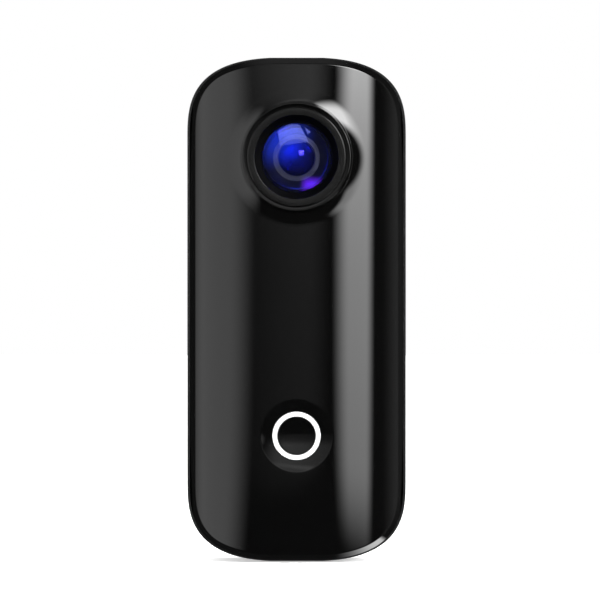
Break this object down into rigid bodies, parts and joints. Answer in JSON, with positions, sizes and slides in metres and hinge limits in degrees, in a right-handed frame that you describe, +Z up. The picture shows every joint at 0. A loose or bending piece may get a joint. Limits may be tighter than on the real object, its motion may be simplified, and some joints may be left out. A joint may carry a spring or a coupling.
{
  "type": "action camera",
  "caption": "Upright thumb-size black action camera with a crowned gloss front, raised lens, round record button, side port door and magnetic back.",
  "frame": {"origin": "middle of the foot, on the surface the camera stands on, halfway between the lens bezel and the rear pad", "axes": "+Z up along the body's length, -Y the way the lens looks, +X to the right of someone facing the lens"},
  "size_m": [0.0264, 0.0218, 0.061],
  "materials": {
    "gloss_black": "piano-black gloss",
    "satin_black": "fine satin",
    "inner_black": "matt anti-glare",
    "soft_black": "matt",
    "dark_metal": "black anodised, fine turned",
    "steel": "satin",
    "coated_glass": "blue anti-reflection coating",
    "clear_glass": "polished",
    "light_guide": "milky white",
    "circuit_green": "solder mask",
    "chip_black": "moulded epoxy",
    "gold": "plated",
    "pouch_silver": "laminated foil",
    "flex_amber": "polyimide film",
    "foam_grey": "open foam",
    "magnet_nickel": "nickel plated"
  },
  "bodies": {
    "camera_body": {"front_cover": "gloss_black", "rear_shell": "satin_black", "cover_gasket": "soft_black", "rear_pad": "soft_black", "shell_screw_1": "steel", "shell_screw_2": "steel", "shell_screw_3": "steel", "shell_screw_4": "steel", "magnet_lower": "magnet_nickel", "magnet_upper": "magnet_nickel", "lens_bezel": "dark_metal", "lens_hood": "inner_black", "front_lens": "coated_glass", "lens_spacer": "inner_black", "second_lens": "coated_glass", "aperture_ring": "inner_black", "rear_lens": "clear_glass", "lens_barrel": "dark_metal", "lens_o_ring": "soft_black", "lens_holder": "inner_black", "ir_filter": "clear_glass", "image_sensor": "chip_black", "sensor_board": "circuit_green", "microphone": "steel", "buzzer": "chip_black", "sensor_flex": "flex_amber", "main_board": "circuit_green", "board_screw_1": "steel", "board_screw_2": "steel", "board_screw_3": "steel", "shield_can": "steel", "processor": "chip_black", "flash_chip": "chip_black", "card_socket": "steel", "usb_port": "steel", "battery": "pouch_silver", "battery_foam": "foam_grey", "battery_lead": "soft_black", "wifi_antenna": "gold", "button_seal": "soft_black", "record_switch": "steel", "led_left": "light_guide", "led_right": "light_guide", "mode_switch": "steel", "door_pin": "steel", "mic_mesh": "soft_black", "buzzer_mesh": "soft_black"},
    "record_key": {"record_button": "gloss_black", "light_ring": "light_guide"},
    "mode_key": {"mode_button": "satin_black"},
    "port_flap": {"port_door": "satin_black", "door_seal": "soft_black"},
    "card": {"memory_card": "chip_black"}
  },
  "joints": [
    {"name": "record_press", "type": "slide", "parent": "camera_body", "child": "record_key", "axis": [0, 1, 0], "range_m": [0, 0.0004], "stiffness_N_per_m": 3000, "springref_m": -0.0002},
    {"name": "mode_press", "type": "slide", "parent": "camera_body", "child": "mode_key", "axis": [-1, 0, 0], "range_m": [0, 0.00035], "stiffness_N_per_m": 3000, "springref_m": -0.0002},
    {"name": "port_door_swing", "type": "hinge", "parent": "camera_body", "child": "port_flap", "pos_m": [-0.01262, 0.0063, 0.0218], "axis": [0, 0, -1], "range_deg": [0, 100]},
    {"name": "card_slide", "type": "slide", "parent": "camera_body", "child": "card", "axis": [-1, 0, 0], "range_m": [-0.0007, 0.0022]}
  ]
}
